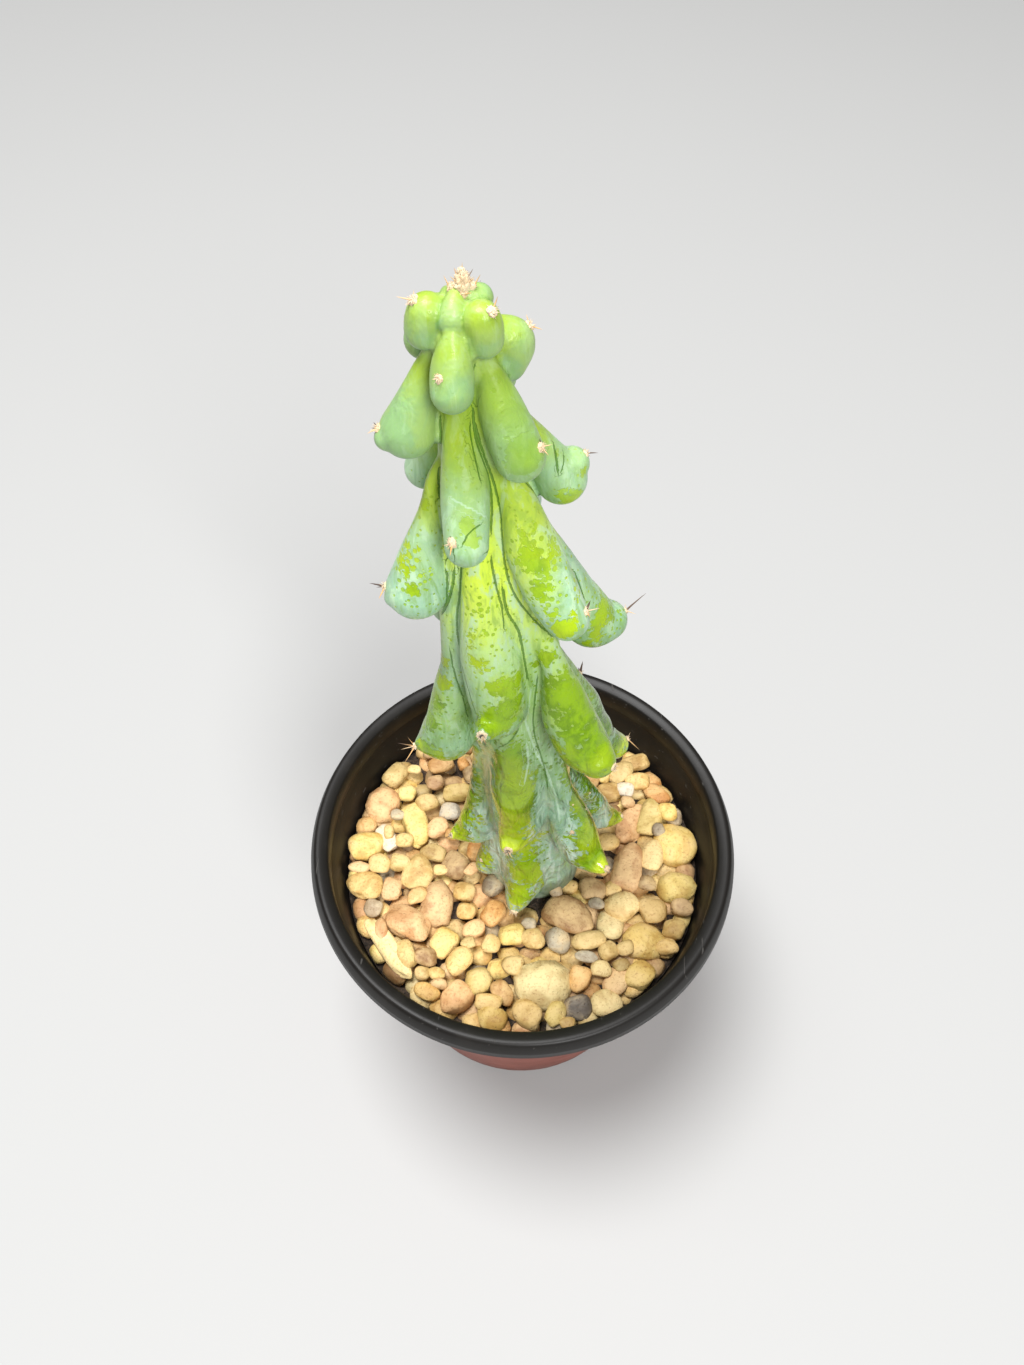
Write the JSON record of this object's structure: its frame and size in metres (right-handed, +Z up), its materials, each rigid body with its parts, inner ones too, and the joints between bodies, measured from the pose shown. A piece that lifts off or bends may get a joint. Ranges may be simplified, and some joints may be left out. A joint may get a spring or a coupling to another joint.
{
  "type": "potted boobie cactus",
  "caption": "Slender ribbed cactus with drooping, swollen drop-shaped tubercles and short spines, rooted in soil under pea gravel in a small tapered round nursery pot.",
  "frame": {"origin": "middle of the pot's base, on the surface that the pot stands on", "axes": "+Z up along the pot's axis, -Y towards the front of the plant as pictured"},
  "size_m": [0.104, 0.104, 0.2365],
  "materials": {
    "pot": "satin black inside, on the lip and on the collar, brick red on the outer wall",
    "soil": "dark damp potting mix",
    "gravel": "smooth rounded pea gravel in tan, cream, pink and grey",
    "cactus": "waxy green skin with a blue-grey bloom, tan wool and brown spines"
  },
  "bodies": {
    "root": {"pot": "pot", "soil": "soil", "gravel": "gravel", "cactus": "cactus"}
  },
  "joints": []
}
